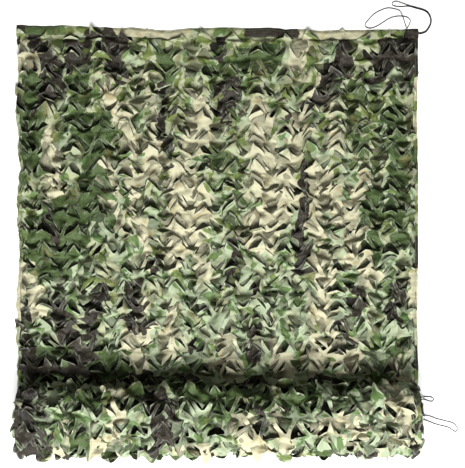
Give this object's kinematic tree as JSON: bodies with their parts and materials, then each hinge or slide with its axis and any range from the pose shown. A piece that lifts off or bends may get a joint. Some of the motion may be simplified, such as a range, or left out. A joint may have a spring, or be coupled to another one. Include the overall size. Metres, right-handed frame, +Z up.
{
  "type": "camouflage net",
  "caption": "Leaf-cut camouflage net laid flat with the rest of its length in a roll, bound edges and cord tie loops.",
  "frame": {"origin": "bottom centre of the laid net and its roll, the tie loops left out", "axes": "+X across the net, +Y from the roll towards the free hem, +Z up"},
  "size_m": [1.647, 1.6817, 0.1928],
  "materials": {
    "leaf_cloth": "matt woven polyester, camouflage print",
    "binding_cloth": "the same printed cloth, folded and stitched",
    "tie_cord": "thin braided cord, slight sheen"
  },
  "bodies": {
    "root": {"net_sheet": "leaf_cloth", "net_roll": "leaf_cloth", "binding_top": "binding_cloth", "binding_left": "binding_cloth", "binding_right": "binding_cloth", "tie_loop_open": "tie_cord", "tie_loop_doubled": "tie_cord", "tie_loop_roll_short": "tie_cord", "tie_loop_roll_long": "tie_cord"}
  },
  "joints": []
}
